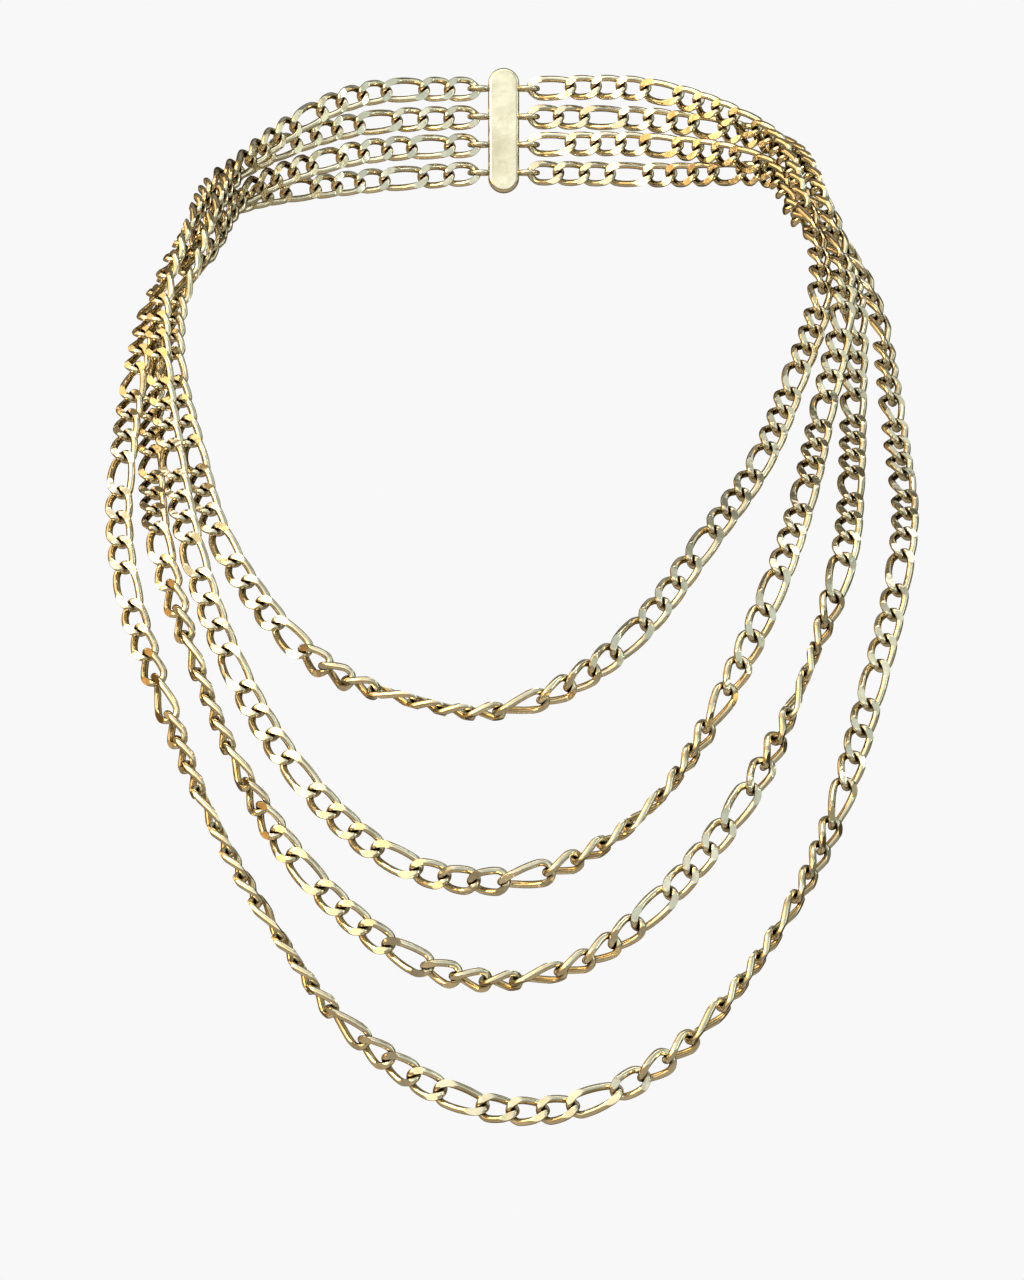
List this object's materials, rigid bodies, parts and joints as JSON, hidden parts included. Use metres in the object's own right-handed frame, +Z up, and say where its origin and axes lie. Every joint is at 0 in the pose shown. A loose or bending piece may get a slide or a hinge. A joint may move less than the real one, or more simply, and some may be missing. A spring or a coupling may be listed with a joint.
{
  "type": "figaro chain necklace",
  "caption": "Figaro chain necklace in yellow gold, with graduated strands of long and short curb links that meet on one plain clasp at the nape.",
  "frame": {"origin": "the nape, where the middle of the clasp rests on the back of the neck", "axes": "+X across the neck to the right of the front view, +Y backwards out of the neck, +Z up; the strands hang forward and down"},
  "size_m": [0.1396, 0.1553, 0.1888],
  "materials": {
    "gold": "polished, yellow gold colour"
  },
  "bodies": {
    "root": {"inner_strand": "gold", "second_strand": "gold", "third_strand": "gold", "outer_strand": "gold", "clasp": "gold"}
  },
  "joints": []
}
